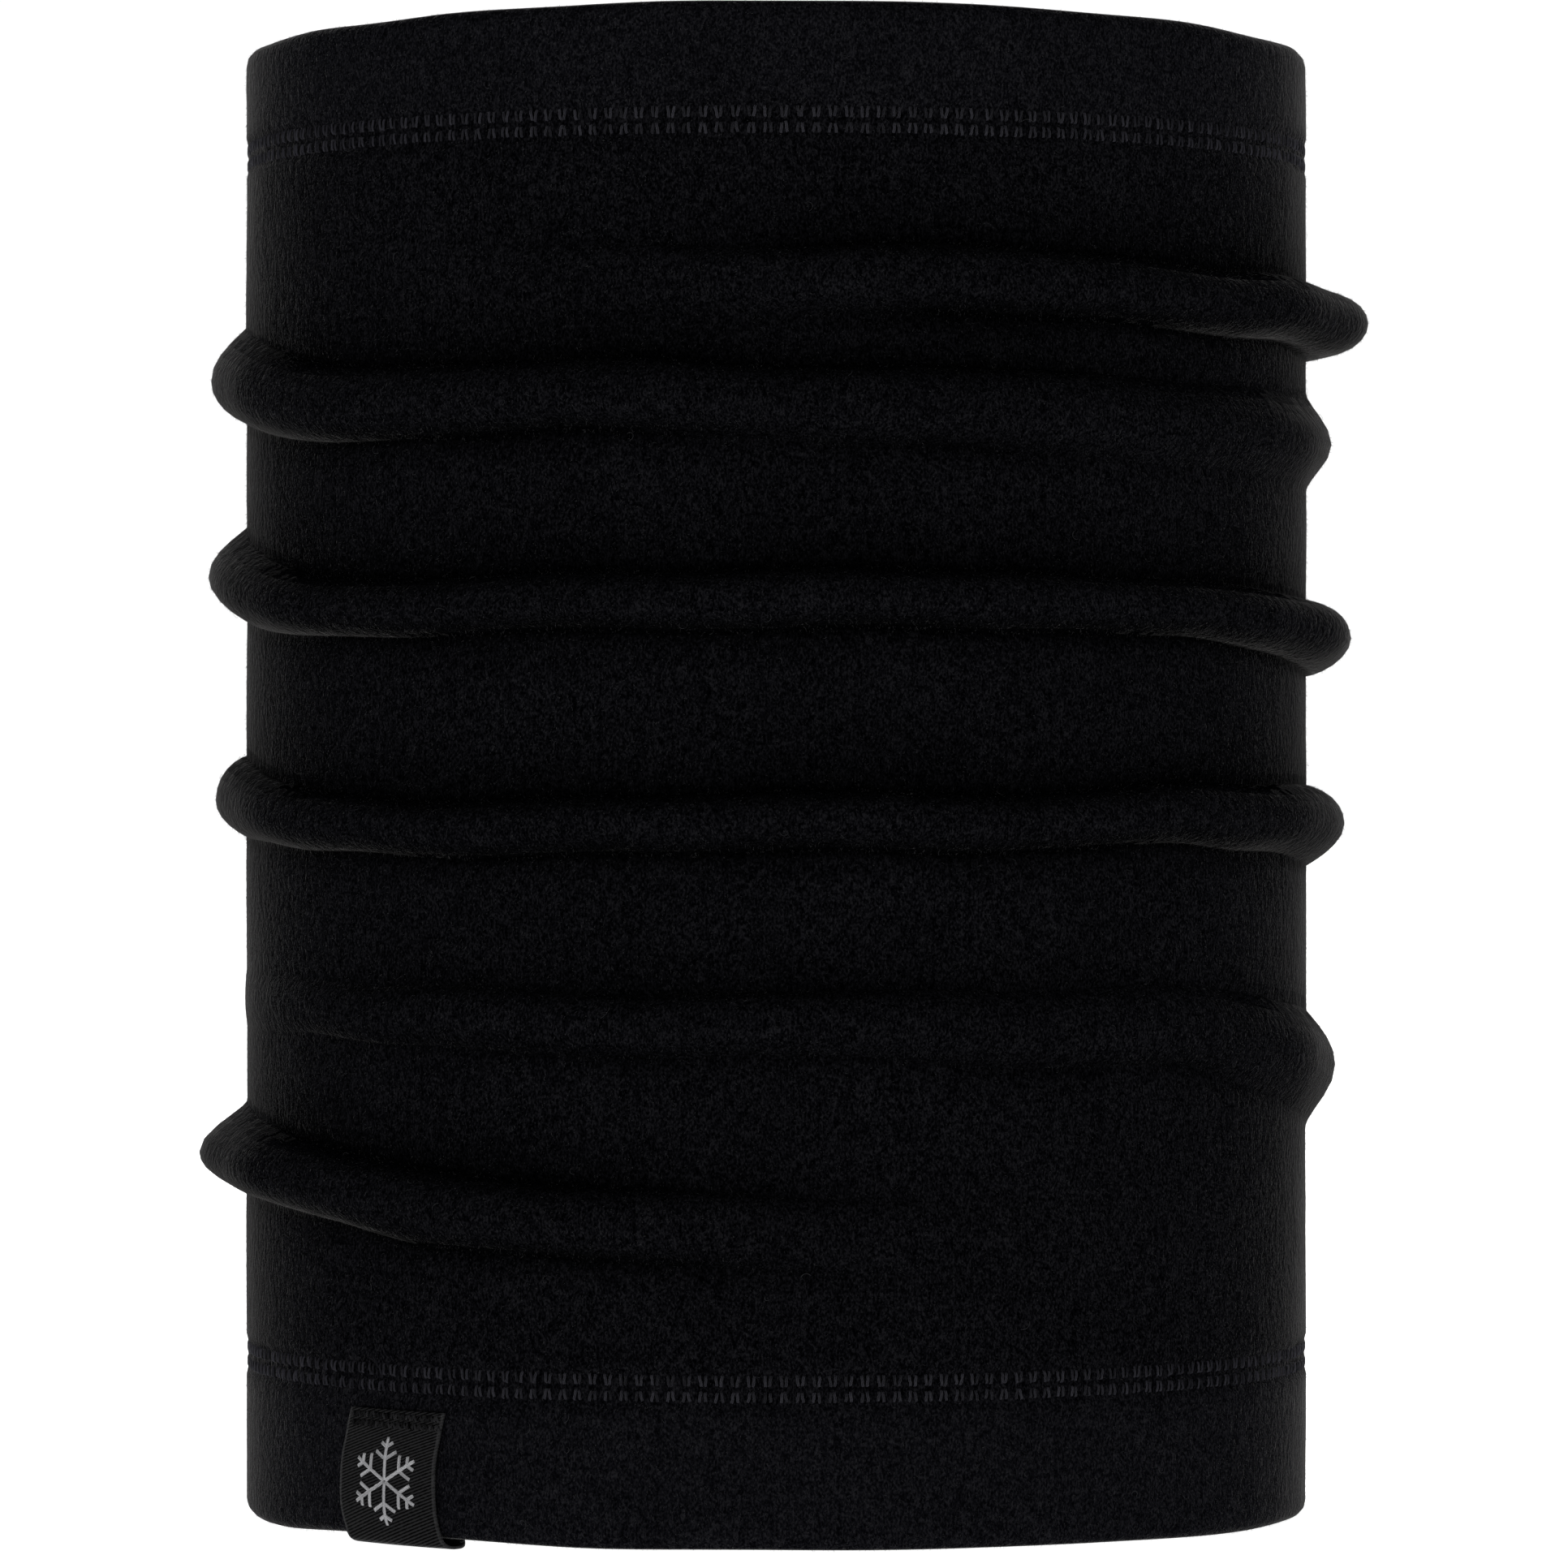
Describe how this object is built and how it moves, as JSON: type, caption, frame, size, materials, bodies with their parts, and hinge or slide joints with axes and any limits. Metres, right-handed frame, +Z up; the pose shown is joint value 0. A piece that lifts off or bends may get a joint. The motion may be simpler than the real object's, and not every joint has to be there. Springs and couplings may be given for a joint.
{
  "type": "neck gaiter",
  "caption": "Soft black fleece tube worn round the neck, open at both ends, with stitched hems, rucked walls, a folded ribbon label on the lower hem and a care label inside.",
  "frame": {"origin": "middle of the footprint, on the surface that the bottom hem stands on", "axes": "+Z up along the tube, -Y the front of the tube, +Y the back seam, +X to the right seen from the front"},
  "size_m": [0.183, 0.1598, 0.2288],
  "materials": {
    "fleece": "near-black brushed micro-fleece, matt with a soft nap",
    "stitching": "dark textured polyester sewing thread, slight sheen",
    "label_ribbon": "black woven twill ribbon, slight satin sheen",
    "label_motif": "light grey woven thread",
    "care_ribbon": "charcoal satin ribbon"
  },
  "bodies": {
    "lower_tube": {"bottom_hem": "fleece", "bottom_hem_cover_thread": "stitching", "bottom_hem_needle_thread_lower": "stitching", "bottom_hem_needle_thread_middle": "stitching", "bottom_hem_needle_thread_upper": "stitching", "brand_label_ribbon": "label_ribbon", "brand_label_motif": "label_motif", "brand_label_outer_stitches": "stitching", "brand_label_inner_stitches": "stitching", "lower_fleece_wall": "fleece", "lower_back_seam_cover_thread": "stitching", "lower_back_seam_needle_threads": "stitching", "care_label_stitches": "stitching", "gathered_fleece_wall": "fleece", "gathered_back_seam_cover_thread": "stitching", "gathered_back_seam_needle_threads": "stitching"},
    "upper_tube": {"upper_fleece_wall": "fleece", "upper_back_seam_cover_thread": "stitching", "upper_back_seam_needle_threads": "stitching", "top_hem": "fleece", "top_hem_cover_thread": "stitching", "top_hem_needle_thread_lower": "stitching", "top_hem_needle_thread_middle": "stitching", "top_hem_needle_thread_upper": "stitching"},
    "care_label": {"care_label_flap": "care_ribbon"}
  },
  "joints": [
    {"name": "pull_up_slide", "type": "slide", "parent": "lower_tube", "child": "upper_tube", "axis": [0, 0, 1], "range_m": [-0.02, 0.04], "deforming": ["gathered_fleece_wall", "gathered_back_seam_cover_thread", "gathered_back_seam_needle_threads"]},
    {"name": "care_label_hinge", "type": "hinge", "parent": "lower_tube", "child": "care_label", "pos_m": [0.0058, 0.07405, 0.047], "axis": [0, 0, -1], "range_deg": [0, 120]}
  ]
}
